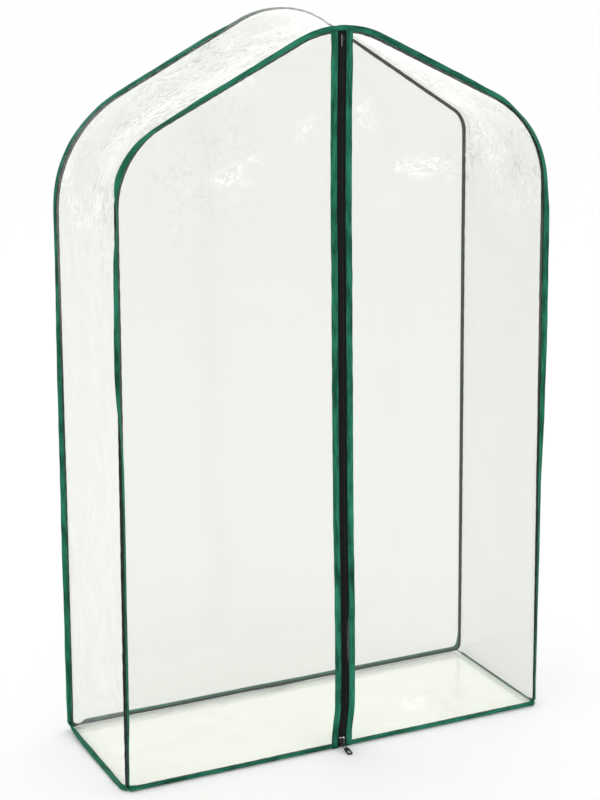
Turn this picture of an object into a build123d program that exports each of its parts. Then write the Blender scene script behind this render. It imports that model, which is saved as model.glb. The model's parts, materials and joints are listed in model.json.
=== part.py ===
"""Mini pop-up greenhouse: two sprung wire loops in sleeves, clear film panels with bound edges and a
centre zip.  Millimetres, +Z up, +Y towards the back, origin on the floor at the middle of the base."""
from build123d import *
import math
import os

# ---- overall size -----------------------------------------------------------------------------------
WIDTH = 900.0                     # across the bound edges at the floor
DEPTH = 316.0                     # front face to back face
APEX_R = 190.0
FOOT_R = 22.0
# each loop: half width at the shoulders, left and right shoulder height, apex offset and height, all
# where the straight lines cross before rounding, then left and right shoulder radius; the cover pulls
# unevenly
FRONT_LOOP = (437.0, 1184.0, 1184.0, 0.0, 1397.0, 170.0, 200.0)
BACK_LOOP = (440.0, 1178.0, 1158.0, 35.0, 1422.0, 240.0, 65.0)

# ---- film, tape, wire -------------------------------------------------------------------------------
FILM_T = 0.4
TAPE_W = 12.7                     # green edge binding, folded width
TAPE_T = 1.0
BASE_TAPE_T = 0.8
WIRE_R = 1.5
WIRE_BUTT = 0.6                   # between the two ends of each wire, inside its ferrule
SLEEVE_R = 3.5
SLEEVE_BORE_R = 1.7
FERRULE_R = 2.4
FERRULE_BORE_CLEAR = 0.05
FERRULE_L = 32.0
SLEEVE_GAP = 40.0                 # where the wire is fed in and its ends are crimped
LOOP_INSET = 11.0                 # wire centre line inside the outline of the bound edges
FRONT_SILL_Z = 4.6                # wire centre lines along the floor
BACK_SILL_Z = 9.5
HEM_W = 9.0                       # edge tape along the front sill and under the flaps, folded narrower
WELT_R = 1.8                      # stitched welt inside each side seam of the floor

# ---- layers, as distance inside the front or back face ----------------------------------------------
FILM_IN = 1.2                     # outer face of the front and back films
SILL_TAPE_IN = 3.6
SLEEVE_IN = 8.6                   # centre line of the front and back sleeves
STRIP_INSET = 6.0                 # roof and side film inside the outline
PANEL_INSET = 8.0                 # front and back films inside the outline
STRIP_END_IN = 1.8                # its two long edges inside the faces
FLOOR_CLEAR = 0.2
SEAM_GAP = 0.1                    # between sewn layers
WELT_GAP = 0.3                    # welt to film
BASE_END_GAP = 1.0                # base pieces end this far from the front and back layers

# ---- zip and door flaps -----------------------------------------------------------------------------
CREASE_FOOT = (431.0, 2.0)        # the door flap folds along a line from here
CREASE_TOP = (0.0, 1256.0)        # to here on the zip
CREASE_GAP = 0.5                  # films and the flap's zip tape end this far from the fold
CREASE_ROOM = 6.0                 # kept free of the flap's thick pieces beside the fold
ZIP_TAPE_ROOM = 1.1               # and of the fixed pieces, which lets the flap fold back 135 degrees
TAPE_ROOM = 2.2
COIL_ROOM = 3.2
FOLD_OVERRUN = 200.0
SILL_OPEN_X = 434.0               # the front edge binding is open between here and its mirror
COIL_IN_X = 0.7
COIL_OUT_X = 3.0
COIL_FRONT = 0.8                  # coil stands this far in front of the front face
COIL_T = 1.8
ZIP_TAPE_IN_X = 1.0
ZIP_TAPE_OUT_X = 8.0
ZIP_TAPE_T = 0.6
ZIP_TAPE_IN = 1.1                 # zip tape's outer face inside the front face
ZIP_BIND_IN_X = 7.6
ZIP_BIND_W = 12.0
FLAP_BOTTOM = 1.5
CHAIN_BOTTOM = 21.0               # coils start just above the closed slider
CHAIN_TOP = 1348.0
ZIP_TOP = 1361.0
STOP_X = 2.2
STOP_W = 2.6
STOP_L = 5.0
STOP_ABOVE = 4.0                  # middle of each top stop above the chain

SLIDER_BOTTOM = 3.0
SLIDER_L = 16.0
SLIDER_HALF_W = 5.2
SLIDER_ROOM = 0.6
SLIDER_CORNER_R = 3.0
SLIDER_FRONT = 2.6                # front plate's outer face in front of the front face
SLIDER_BACK_IN = 3.2              # back plate's outer face inside the front face
PLATE_T = 1.4
BACK_PLATE_T = 1.2
LIP_X = 4.3
LIP_W = 1.8
LIP_L = 9.8
TAPE_SLOT = 0.4                   # from the lips' ends to the zip tape
MERGE = 0.2                       # how far joined solids run into each other
POST_W = 0.8
POST_L = 5.0
POST_ABOVE = 4.0                  # middle of the post above the slider's middle
BRIDGE_RISE = 4.4
BRIDGE_W = 2.6
BRIDGE_BELOW = 2.2                # foot of the bridge below the pivot
BRIDGE_L = 10.5
BRIDGE_BAR = 1.1
BRIDGE_CORNER = 1.0
BRIDGE_TOP_BAR = 1.5
PIVOT_FRONT = 4.6                 # pull tab's pivot in front of the front face
PIVOT_Z = 7.4
TAB_L = 33.0
TAB_W = 11.0
TAB_T = 1.3
TAB_CORNER_R = 4.0
TAB_HOLE = (9.0, 5.4)             # length, width
TAB_HOLE_IN = 8.5                 # middle of the hole from the tab's tip
LINK_L = 10.5
LINK_W = 7.4
LINK_BAR = 1.3
LINK_CORNER_R = 1.6
LINK_HOLE_CORNER_R = 0.8
TAB_DROP = 11.5                   # degrees below level, with its tip on the floor

FRONT_Y = -DEPTH / 2
BACK_Y = DEPTH / 2


def inwards(start, end):
    """Unit normal of an edge of the outline, towards the inside."""
    edge = (end - start).normalized()
    return Vector(-edge.Y, edge.X)


def corners(loop, inset, foot_z=None):
    """Right foot, right shoulder, apex, left shoulder, left foot of the house outline, moved inwards."""
    half, left_z, right_z, apex_x, apex_z = loop[:5]
    outline = [Vector(WIDTH / 2, 0), Vector(half, right_z), Vector(apex_x, apex_z), Vector(-half, left_z),
               Vector(-WIDTH / 2, 0)]
    moved = []
    for i, corner in enumerate(outline):
        before = inwards(outline[i - 1], corner)
        after = inwards(corner, outline[(i + 1) % len(outline)])
        moved.append(corner + (before + after) * (inset / (1 + before.dot(after))))
    if foot_z is not None:
        for foot, shoulder in ((0, 1), (-1, -2)):
            wall = moved[shoulder] - moved[foot]
            moved[foot] += wall * ((foot_z - moved[foot].Y) / wall.Y)
    return [(corner.X, corner.Y) for corner in moved]


def corner_radii(loop, inset):
    left, right = loop[5:]
    return [r - inset for r in (FOOT_R, right, APEX_R, left, FOOT_R)]


def plane_at(y):
    """Sketch plane facing the front: sketch x is +X, sketch y is +Z."""
    return Plane.XZ.offset(-y)


def save(part, name):
    part.label = name
    export_step(part, f"parts/{name}.step")


def house_face(loop, inset):
    """Closed house outline as a sketch face."""
    with BuildSketch() as house:
        with BuildLine():
            FilletPolyline(*corners(loop, inset), radius=corner_radii(loop, inset), close=True)
        make_face()
    return house.sketch


def loop_tube(loop, y, sill_z, outer, bore, gap):
    """Round tube or wire along the house outline, open for `gap` at the middle of the sill."""
    route = [(gap / 2, sill_z)] + corners(loop, LOOP_INSET, sill_z) + [(-gap / 2, sill_z)]
    with BuildPart() as tube:
        with BuildLine(plane_at(y)) as path:
            FilletPolyline(*route, radius=corner_radii(loop, LOOP_INSET))
        with BuildSketch(Plane(origin=path.line @ 0, z_dir=path.line % 0)):
            Circle(outer)
            if bore:
                Circle(bore, mode=Mode.SUBTRACT)
        sweep()
    return tube.part


def ferrule(y, z):
    """Crimped tube over the two butted wire ends, along X."""
    with BuildPart() as tube:
        with BuildSketch(Plane.YZ.offset(-FERRULE_L / 2)):
            with Locations((y, z)):
                Circle(FERRULE_R)
                Circle(WIRE_R + FERRULE_BORE_CLEAR, mode=Mode.SUBTRACT)
        extrude(amount=FERRULE_L)
    return tube.part


def wire_loops():
    for side, loop, y, sill_z in (("front", FRONT_LOOP, FRONT_Y + SLEEVE_IN, FRONT_SILL_Z),
                                  ("back", BACK_LOOP, BACK_Y - SLEEVE_IN, BACK_SILL_Z)):
        save(loop_tube(loop, y, sill_z, WIRE_R, 0, WIRE_BUTT), f"{side}_wire")
        save(loop_tube(loop, y, sill_z, SLEEVE_R, SLEEVE_BORE_R, SLEEVE_GAP), f"{side}_wire_sleeve")
        save(ferrule(y, sill_z), f"{side}_wire_ferrule")


def edge_binding(loop, y, open_sill):
    """Bound seam round the front or back outline.  The front one stops at the feet, beside the flaps."""
    with BuildPart() as band:
        with BuildSketch(plane_at(y)):
            add(house_face(loop, 0))
            add(house_face(loop, TAPE_W), mode=Mode.SUBTRACT)
            if open_sill:
                Rectangle(2 * SILL_OPEN_X, 4 * TAPE_W, mode=Mode.SUBTRACT)
        extrude(amount=TAPE_T)
    return band.part


def base_bindings():
    """Tape and inner welt along the left and right base edges, and tape along the sill under the flaps."""
    run = DEPTH - 2 * (STRIP_END_IN + BASE_END_GAP)
    welt_run = DEPTH - 2 * (SLEEVE_IN + SLEEVE_R + BASE_END_GAP)
    welt_x = WIDTH / 2 - STRIP_INSET - FILM_T - WELT_GAP - WELT_R
    edge_x = WIDTH / 2 - STRIP_INSET + SEAM_GAP + BASE_TAPE_T / 2
    for side, sign in (("left", -1), ("right", 1)):
        with BuildPart() as welt:
            with BuildSketch(plane_at(welt_run / 2)):
                with Locations((sign * welt_x, FILM_T + FLOOR_CLEAR + WELT_R)):
                    Circle(WELT_R)
            extrude(amount=welt_run)
        save(welt.part, f"{side}_base_welt")
        with BuildPart() as edge:
            with BuildSketch():
                with Locations((sign * edge_x, 0)):
                    Rectangle(BASE_TAPE_T, run)
            extrude(amount=TAPE_W)
        save(edge.part, f"{side}_base_binding")
    with BuildPart() as sill:
        with BuildSketch(Plane.XY.offset(FILM_T + FLOOR_CLEAR)):
            with Locations((0, FRONT_Y + SILL_TAPE_IN + BASE_TAPE_T / 2)):
                Rectangle(WIDTH - 2 * LOOP_INSET - 2 * SLEEVE_R, BASE_TAPE_T)
        extrude(amount=HEM_W)
    save(sill.part, "front_sill_binding")


def strip_face(loop, y):
    """Cross-section of the roof and side film: an arch from floor to floor."""
    low = FILM_T + FLOOR_CLEAR
    thin = STRIP_INSET + FILM_T
    with BuildSketch(plane_at(y)) as section:
        with BuildLine() as arch:
            out_line = FilletPolyline(*corners(loop, STRIP_INSET, low),
                                      radius=corner_radii(loop, STRIP_INSET)[1:-1])
            in_line = FilletPolyline(*corners(loop, thin, low), radius=corner_radii(loop, thin)[1:-1])
            Line(out_line @ 0, in_line @ 0)
            Line(out_line @ 1, in_line @ 1)
        make_face()
    return section.sketch


def films():
    with BuildPart() as strip:
        front = strip_face(FRONT_LOOP, FRONT_Y + STRIP_END_IN)
        back = strip_face(BACK_LOOP, BACK_Y - STRIP_END_IN)
        loft(sections=[front, back], ruled=True)
    save(strip.part, "roof_and_side_film")
    with BuildPart() as floor:
        with BuildSketch():
            Rectangle(WIDTH - 2 * STRIP_INSET, DEPTH - 2 * STRIP_END_IN)
        extrude(amount=FILM_T)
    save(floor.part, "floor_film")
    with BuildPart() as rear:
        with BuildSketch(plane_at(BACK_Y - FILM_IN)):
            add(house_face(BACK_LOOP, PANEL_INSET))
        extrude(amount=FILM_T)
    save(rear.part, "back_panel_film")


def fold_side(side, inner, clear):
    """Part of the front on one side of the fold, kept `clear` of it, as a sketch face."""
    foot = Vector(side * CREASE_FOOT[0], CREASE_FOOT[1])
    top = Vector(side * CREASE_TOP[0], CREASE_TOP[1])
    along = (top - foot).normalized()
    inward = Vector(-side * along.Y, side * along.X)
    away = inward if inner else inward * -1
    start = foot - along * FOLD_OVERRUN + away * clear
    end = top + along * FOLD_OVERRUN + away * clear
    far = away * 2 * WIDTH
    with BuildSketch() as part_of_front:
        with BuildLine():
            Polyline(start, end, end + far, start + far, close=True)
        make_face()
    return part_of_front.sketch


def front_piece(name, side, inner, clear, layer, thick, outline):
    """Flat piece of the front: `outline` cut to its side of the fold.  `layer` is its front face."""
    with BuildPart() as piece:
        with BuildSketch(plane_at(FRONT_Y + layer + thick)):
            outline(side)
            add(fold_side(side, inner, clear), mode=Mode.INTERSECT)
        extrude(amount=thick)
    save(piece.part, name)


def half_front(side):
    """Half of the front panel, from the zip tape to the outline."""
    add(house_face(FRONT_LOOP, PANEL_INSET))
    upright(side, ZIP_TAPE_OUT_X + 2 * SEAM_GAP, WIDTH, 0, 2 * ZIP_TOP, Mode.INTERSECT)


def upright(side, x_in, x_out, low, high, mode=Mode.ADD):
    with Locations((side * (x_in + x_out) / 2, (low + high) / 2)):
        Rectangle(x_out - x_in, high - low, mode=mode)


def zip_binding_outline(side):
    upright(side, ZIP_BIND_IN_X, ZIP_BIND_IN_X + ZIP_BIND_W, FLAP_BOTTOM, ZIP_TOP)


def zip_tape_outline(side):
    """Tape half, cut back beside the closed slider."""
    upright(side, ZIP_TAPE_IN_X, ZIP_TAPE_OUT_X, CHAIN_BOTTOM, ZIP_TOP)
    upright(side, SLIDER_HALF_W + SLIDER_ROOM, ZIP_TAPE_OUT_X, FLAP_BOTTOM, CHAIN_BOTTOM)


def coil_outline(side):
    upright(side, COIL_IN_X, COIL_OUT_X, CHAIN_BOTTOM, CHAIN_TOP)


def hem_outline(side):
    start = ZIP_BIND_IN_X + ZIP_BIND_W + 2 * SEAM_GAP
    upright(side, start, WIDTH / 2, FLAP_BOTTOM, FLAP_BOTTOM + HEM_W)


def front_panel():
    """Two halves, each folding along its own crease, with the zip between them."""
    coil_layer = -COIL_FRONT
    for name, side in (("left", -1), ("right", 1)):
        front_piece(f"{name}_front_film", side, False, CREASE_GAP, FILM_IN, FILM_T, half_front)
        front_piece(f"{name}_flap_film", side, True, CREASE_GAP, FILM_IN, FILM_T, half_front)
        front_piece(f"{name}_flap_hem", side, True, CREASE_ROOM, 0, TAPE_T, hem_outline)
        front_piece(f"{name}_zip_binding", side, True, CREASE_ROOM, 0, TAPE_T, zip_binding_outline)
        front_piece(f"{name}_zip_tape", side, True, CREASE_GAP, ZIP_TAPE_IN, ZIP_TAPE_T, zip_tape_outline)
        front_piece(f"{name}_zip_coil", side, True, CREASE_ROOM, coil_layer, COIL_T, coil_outline)
        front_piece(f"{name}_top_binding", side, False, TAPE_ROOM, 0, TAPE_T, zip_binding_outline)
        front_piece(f"{name}_top_zip_tape", side, False, ZIP_TAPE_ROOM, ZIP_TAPE_IN, ZIP_TAPE_T,
                    zip_tape_outline)
        front_piece(f"{name}_top_zip_coil", side, False, COIL_ROOM, coil_layer, COIL_T, coil_outline)


def zip_stops():
    """Two metal top stops crimped on the tape edges above the chain."""
    with BuildPart() as stops:
        with BuildSketch(plane_at(FRONT_Y + ZIP_TAPE_IN - SEAM_GAP)):
            with Locations((-STOP_X, CHAIN_TOP + STOP_ABOVE), (STOP_X, CHAIN_TOP + STOP_ABOVE)):
                RectangleRounded(STOP_W, STOP_L, STOP_W / 4)
        extrude(amount=COIL_T)
    save(stops.part, "zip_top_stops")


def slider_body():
    """Two plates joined by a thin post, with lips that hold the coils and leave a slot for the tape."""
    front = FRONT_Y - SLIDER_FRONT
    lip_end = FRONT_Y + ZIP_TAPE_IN - TAPE_SLOT
    back = FRONT_Y + SLIDER_BACK_IN
    mid_z = SLIDER_BOTTOM + SLIDER_L / 2
    with BuildPart() as body:
        for face, thick in ((front + PLATE_T, PLATE_T), (back, BACK_PLATE_T)):
            with BuildSketch(plane_at(face)):
                with Locations((0, mid_z)):
                    RectangleRounded(2 * SLIDER_HALF_W, SLIDER_L, SLIDER_CORNER_R)
            extrude(amount=thick)
        with BuildSketch(plane_at(lip_end)):
            with Locations((-LIP_X, mid_z), (LIP_X, mid_z)):
                Rectangle(LIP_W, LIP_L)
        extrude(amount=lip_end - front - MERGE)
        with BuildSketch(plane_at(back - BACK_PLATE_T + MERGE)):
            with Locations((0, mid_z + POST_ABOVE)):
                Rectangle(POST_W, POST_L)
        extrude(amount=back - BACK_PLATE_T - front)
    save(body.part, "zip_slider")


def slider_bridge():
    """Arched bridge on the slider's front plate that holds the pull tab's crossbar."""
    front = FRONT_Y - SLIDER_FRONT
    top = front - BRIDGE_RISE
    low = PIVOT_Z - BRIDGE_BELOW
    high = low + BRIDGE_L
    with BuildPart() as bridge:
        with BuildSketch(Plane.YZ.offset(-BRIDGE_W / 2)):
            with BuildLine():
                Polyline((front, low), (top + BRIDGE_CORNER, low), (top, low + BRIDGE_CORNER),
                         (top, high - BRIDGE_TOP_BAR), (top + BRIDGE_CORNER, high), (front, high),
                         close=True)
            make_face()
            with BuildLine():
                Polyline((front, low + BRIDGE_BAR), (top + BRIDGE_BAR, low + BRIDGE_BAR),
                         (top + BRIDGE_BAR, high - BRIDGE_TOP_BAR), (front, high - BRIDGE_TOP_BAR),
                         close=True)
            make_face(mode=Mode.SUBTRACT)
        extrude(amount=BRIDGE_W)
    save(bridge.part, "slider_bridge")


def pull_tab():
    """Wire link with a crossbar under the bridge, and a flat tab with an oval hole, in one tilted plane."""
    drop = math.radians(TAB_DROP)
    pivot = Vector(0, FRONT_Y - PIVOT_FRONT, PIVOT_Z)
    reach = Vector(0, -math.cos(drop), -math.sin(drop))
    across = Vector(1, 0, 0)
    tab_plane = Plane(origin=pivot, x_dir=reach, z_dir=reach.cross(across))
    tab_start = LINK_L + LINK_BAR / 2
    with BuildPart() as link:
        with BuildSketch(tab_plane.offset(-LINK_BAR / 2)):
            with Locations((LINK_L / 2, 0)):
                RectangleRounded(LINK_L + LINK_BAR, LINK_W, LINK_CORNER_R)
                RectangleRounded(LINK_L - LINK_BAR, LINK_W - 2 * LINK_BAR, LINK_HOLE_CORNER_R,
                                 mode=Mode.SUBTRACT)
        extrude(amount=LINK_BAR)
    save(link.part, "pull_tab_link")
    with BuildPart() as tab:
        with BuildSketch(tab_plane.offset(-TAB_T / 2)):
            with Locations(((tab_start + TAB_L) / 2, 0)):
                RectangleRounded(TAB_L - tab_start, TAB_W, TAB_CORNER_R)
            with Locations((TAB_L - TAB_HOLE_IN, 0)):
                SlotOverall(*TAB_HOLE, mode=Mode.SUBTRACT)
        extrude(amount=TAB_T)
    save(tab.part, "pull_tab")


os.makedirs("parts", exist_ok=True)
wire_loops()
save(edge_binding(FRONT_LOOP, FRONT_Y + TAPE_T, True), "front_edge_binding")
save(edge_binding(BACK_LOOP, BACK_Y, False), "back_edge_binding")
base_bindings()
films()
front_panel()
zip_stops()
slider_body()
slider_bridge()
pull_tab()
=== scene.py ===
"""Looks of the mini pop-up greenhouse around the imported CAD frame.  Metres, +Z up, +Y to the back."""
import json
import math

import bpy
import numpy as np
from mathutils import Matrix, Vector, noise


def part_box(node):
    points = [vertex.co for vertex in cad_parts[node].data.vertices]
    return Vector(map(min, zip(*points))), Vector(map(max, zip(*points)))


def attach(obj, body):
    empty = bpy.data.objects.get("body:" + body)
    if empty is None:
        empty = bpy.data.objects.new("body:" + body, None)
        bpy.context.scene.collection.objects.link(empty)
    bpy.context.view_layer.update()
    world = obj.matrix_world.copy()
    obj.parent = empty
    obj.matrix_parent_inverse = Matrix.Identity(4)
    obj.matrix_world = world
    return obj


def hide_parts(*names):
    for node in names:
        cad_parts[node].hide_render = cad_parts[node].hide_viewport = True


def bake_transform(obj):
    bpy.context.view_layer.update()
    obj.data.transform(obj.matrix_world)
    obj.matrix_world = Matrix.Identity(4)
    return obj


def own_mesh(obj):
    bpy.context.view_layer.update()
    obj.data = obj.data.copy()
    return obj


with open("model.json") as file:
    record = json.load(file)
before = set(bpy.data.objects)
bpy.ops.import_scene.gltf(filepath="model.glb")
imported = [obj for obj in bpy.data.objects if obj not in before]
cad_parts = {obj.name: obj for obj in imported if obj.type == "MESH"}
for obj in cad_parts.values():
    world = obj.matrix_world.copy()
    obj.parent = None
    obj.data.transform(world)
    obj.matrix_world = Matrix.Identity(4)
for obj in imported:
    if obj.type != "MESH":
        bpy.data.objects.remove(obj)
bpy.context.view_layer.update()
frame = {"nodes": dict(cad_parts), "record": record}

MM = 0.001
JOINTS = {joint["name"]: joint for joint in frame["record"]["behaviour"]["joints"]}
SIDES = (("left", -1), ("right", 1))

# ---- the cover's outline, as in the CAD -------------------------------------------------------------
HALF_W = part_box("back_edge_binding")[1][0]
FRONT_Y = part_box("front_edge_binding")[0][1]
BACK_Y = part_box("back_edge_binding")[1][1]
APEX_R = 190 * MM
FOOT_R = 22 * MM
# half width at the shoulders, left and right shoulder height, apex offset and height, shoulder radii
FRONT_LOOP = (437 * MM, 1184 * MM, 1184 * MM, 0 * MM, 1397 * MM, 170 * MM, 200 * MM)
BACK_LOOP = (440 * MM, 1178 * MM, 1158 * MM, 35 * MM, 1422 * MM, 240 * MM, 65 * MM)

RIBBON_W = 11.8 * MM              # part of the folded tape that stands clear of the loops' seams
TAPE_HALF_T = 0.9 * MM
STITCH_PITCH = 4.2 * MM
STITCH_L = 3.1 * MM
STITCH_R = 0.32 * MM
STITCH_LIFT = 0.12 * MM
SEAM_RIPPLE = 0.6 * MM            # how far the seams wander in and out
ROOT_INSET = 11.4 * MM            # where the bound edge leaves the seam
SLEEVE_INSET = 11 * MM
FRONT_SILL_Z = 4.6 * MM
BACK_SILL_Z = 9.5 * MM
SLEEVE_IN = 8.6 * MM
FILM_IN = 1.4 * MM
POST_STEPS = 110
RAFTER_STEPS = 40
SILL_STEPS = 90
ARC_STEPS = 26


# ---- curves ----------------------------------------------------------------------------------------
def inwards(start, end):
    """Unit normal of an edge of the outline, towards the inside."""
    edge = (end - start).normalized()
    return Vector((edge.y, -edge.x))


def corners(loop, inset, foot_z):
    """Left foot, left shoulder, apex, right shoulder, right foot of the outline, moved inwards."""
    half, left_z, right_z, apex_x, apex_z = loop[:5]
    outline = [Vector((-HALF_W, 0)), Vector((-half, left_z)), Vector((apex_x, apex_z)),
               Vector((half, right_z)), Vector((HALF_W, 0))]
    moved = []
    for i, corner in enumerate(outline):
        before = inwards(outline[i - 1], corner)
        after = inwards(corner, outline[(i + 1) % len(outline)])
        moved.append(corner + (before + after) * (inset / (1 + before.dot(after))))
    for foot, shoulder in ((0, 1), (-1, -2)):
        wall = moved[shoulder] - moved[foot]
        moved[foot] = moved[foot] + wall * ((foot_z - moved[foot].y) / wall.y)
    return moved


def arc_round(before, corner, after, radius, steps):
    """Points of the arc that rounds a corner, first and last on its two lines."""
    to_before = (before - corner).normalized()
    to_after = (after - corner).normalized()
    half_angle = to_before.angle(to_after) / 2
    centre = corner + (to_before + to_after).normalized() * (radius / math.sin(half_angle))
    start = corner + to_before * (radius / math.tan(half_angle)) - centre
    end = corner + to_after * (radius / math.tan(half_angle)) - centre
    turn = start.angle_signed(end)
    points = []
    for i in range(steps + 1):
        angle = -turn * i / steps
        points.append(centre + Vector((start.x * math.cos(angle) - start.y * math.sin(angle),
                                       start.x * math.sin(angle) + start.y * math.cos(angle))))
    return points


def house(loop, inset, foot_z, start=None, end=None, closed=False, foot_r=FOOT_R):
    """The outline from the left foot over the roof to the right foot, as 2-D points.  With `start` and
    `end` the path begins and stops on the sill; closed, it also runs along the whole sill."""
    left, right = loop[5:]
    pts = corners(loop, inset, foot_z)
    radii = [foot_r, left, APEX_R, right, foot_r]
    radii = [max(r - inset, 6 * MM) for r in radii]
    if closed:
        ends = [Vector((0, foot_z)), Vector((0, foot_z))]
    elif start is None:
        return sample(pts, radii[1:-1], [POST_STEPS, RAFTER_STEPS, RAFTER_STEPS, POST_STEPS])
    else:
        ends = [Vector((start, foot_z)), Vector((end, foot_z))]
    sill = SILL_STEPS // 2 if closed else 2
    pts = [ends[0]] + pts + [ends[1]]
    steps = [sill, POST_STEPS, RAFTER_STEPS, RAFTER_STEPS, POST_STEPS, sill]
    return sample(pts, radii, steps)[: -1 if closed else None]


def sample(pts, radii, line_steps):
    """Lines between rounded corners, each cut in its own number of steps."""
    arcs = [arc_round(pts[i], pts[i + 1], pts[i + 2], radii[i], ARC_STEPS) for i in range(len(radii))]
    stops = [pts[0]] + [p for arc in arcs for p in (arc[0], arc[-1])] + [pts[-1]]
    path = []
    for i, steps in enumerate(line_steps):
        a, b = stops[2 * i], stops[2 * i + 1]
        path += [a.lerp(b, k / steps) for k in range(steps)]
        if i < len(arcs):
            path += arcs[i][:-1]
    return path + [pts[-1]]


def lengths(path):
    total = [0.0]
    for a, b in zip(path, path[1:]):
        total.append(total[-1] + (b - a).length)
    return total


def stations(values, share, periodic=False):
    """Smooth value along a path, from (share of its length, value) pairs."""
    if periodic:
        values = values + [(1.0, values[0][1])]
    for (s0, v0), (s1, v1) in zip(values, values[1:]):
        if share <= s1:
            k = (share - s0) / (s1 - s0)
            return v0 + (v1 - v0) * k * k * (3 - 2 * k)
    return values[-1][1]


def wave(x, y=0.0, z=0.0):
    return noise.noise(Vector((x, y, z)))


# ---- meshes ----------------------------------------------------------------------------------------
class Build:
    """Vertices, faces, UVs and material numbers of one mesh."""

    def __init__(self):
        self.verts, self.faces, self.uvs, self.slots = [], [], [], []

    def vert(self, co, uv=(0.0, 0.0)):
        self.verts.append(tuple(co))
        self.uvs.append(uv)
        return len(self.verts) - 1

    def face(self, *corners_, slot=0):
        self.faces.append(corners_)
        self.slots.append(slot)

    def object(self, name, *materials):
        mesh = bpy.data.meshes.new(name)
        mesh.from_pydata(self.verts, [], self.faces)
        layer = mesh.uv_layers.new(name="surface")
        loop_verts = np.empty(len(mesh.loops), dtype=np.int32)
        mesh.loops.foreach_get("vertex_index", loop_verts)
        layer.data.foreach_set("uv", np.array(self.uvs, dtype=np.float32)[loop_verts].ravel())
        mesh.polygons.foreach_set("material_index", self.slots)
        mesh.polygons.foreach_set("use_smooth", [True] * len(self.faces))
        for material in materials:
            mesh.materials.append(material)
        mesh.update()
        piece = bpy.data.objects.new(name, mesh)
        bpy.context.scene.collection.objects.link(piece)
        return piece


def add_grid(build, rows, cols, point, uv, slot=0):
    """Sheet of rows x cols cells; point(i, j) and uv(i, j) give each corner."""
    ids = [[build.vert(point(i, j), uv(i, j)) for j in range(cols + 1)] for i in range(rows + 1)]
    for i in range(rows):
        for j in range(cols):
            build.face(ids[i][j], ids[i][j + 1], ids[i + 1][j + 1], ids[i + 1][j], slot=slot)


def add_sweep(build, path, section, closed_path=False, slot=0):
    """Closed section swept along frames of (point, tangent, out, side); section(i) gives (a, b, u)."""
    along = lengths([p for p, _, _, _ in path])
    rings = []
    for i, (point, _, out, side) in enumerate(path):
        rings.append([build.vert(point + out * a + side * b, (along[i], u)) for a, b, u in section(i)])
    count = len(rings[0])
    spans = list(zip(rings, rings[1:]))
    if closed_path:
        spans.append((rings[-1], rings[0]))
    for low, high in spans:
        for k in range(count):
            build.face(low[k], low[(k + 1) % count], high[(k + 1) % count], high[k], slot=slot)
    if not closed_path:
        build.face(*reversed(rings[0]), slot=slot)
        build.face(*rings[-1], slot=slot)


def add_stitch(build, centre, along, across, up, length, radius, slot):
    """One thread stitch: a small pointed capsule."""
    tips = [build.vert(centre - along * length / 2 - up * radius),
            build.vert(centre + along * length / 2 - up * radius)]
    rings = []
    for shift in (-0.3, 0.3):
        middle = centre + along * length * shift
        rings.append([build.vert(middle + across * radius * math.cos(a) + up * radius * math.sin(a))
                      for a in (0, math.pi / 2, math.pi, 3 * math.pi / 2)])
    for k in range(4):
        n = (k + 1) % 4
        build.face(tips[0], rings[0][n], rings[0][k], slot=slot)
        build.face(rings[0][k], rings[0][n], rings[1][n], rings[1][k], slot=slot)
        build.face(rings[1][k], rings[1][n], tips[1], slot=slot)


def ring_frames(points, front, root, twist, closed=False, seed=0.0):
    """Frames along a path round the front or back.  root(share) gives the plane's y and a shift outwards,
    and twist(share) turns the tape off that plane."""
    face = Vector((0, -1 if front else 1, 0))
    count = len(points)
    along = lengths(points)
    frames = []
    for i, p in enumerate(points):
        a = points[i - 1] if i or closed else p
        b = points[(i + 1) % count] if i < count - 1 or closed else p
        t = (b - a).normalized()
        tangent = Vector((t.x, 0, t.y))
        outward = Vector((-t.y, 0, t.x))
        share = along[i] / along[-1]
        turn = math.radians(twist(share))
        plane_y, shift = root(share)
        out = outward * math.cos(turn) + face * math.sin(turn)
        side = face * math.cos(turn) - outward * math.sin(turn)
        sway = shift + SEAM_RIPPLE * wave(along[i] * 7 + seed, seed)
        frames.append((Vector((p.x, plane_y, p.y)) + outward * sway, tangent, out, side))
    return frames


def tape_section(width):
    """Folded tape from its root out to the fold: two layers and a rounded fold."""
    t = TAPE_HALF_T
    inner = 0.10 * width
    upper = [(inner, t * 0.8), (0.22 * width, t), (0.55 * width, t * 1.05), (0.86 * width, t * 0.9),
             (0.965 * width, t * 0.62), (width, 0.0)]
    lower = [(a, -b) for a, b in reversed(upper[:-1])]
    points = upper + lower
    return [(a, b, (a if b >= 0 else 2 * width - a)) for a, b in points]


def add_tape(build, frames, width, closed=False, full=lambda share: 1.0):
    """Bound edge: folded tape and a row of stitches on each face.  full(share) narrows it."""
    flat = tape_section(width)
    along = lengths([f[0] for f in frames])

    def section(i):
        grow = full(along[i] / along[-1]) * (1 + 0.05 * wave(i * 0.31, width * 900))
        curl = 0.35 * MM * wave(i * 0.17, 3.7)
        return [(a * grow, b + curl * (a / width) ** 2, u) for a, b, u in flat]

    add_sweep(build, frames, section, closed)
    k = 0
    for n in range(int(along[-1] / STITCH_PITCH)):
        at = (n + 0.5) * STITCH_PITCH
        while along[k + 1] < at:
            k += 1
        share = (at - along[k]) / (along[k + 1] - along[k])
        point, tangent, out, side = (a.lerp(b, share) for a, b in zip(frames[k], frames[k + 1]))
        seam = 0.24 * width * full(at / along[-1])
        for face in (1, -1):
            centre = point + out * seam + side * (face * (TAPE_HALF_T + STITCH_LIFT))
            add_stitch(build, centre, tangent, out, side * face, STITCH_L, STITCH_R, slot=1)


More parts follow.
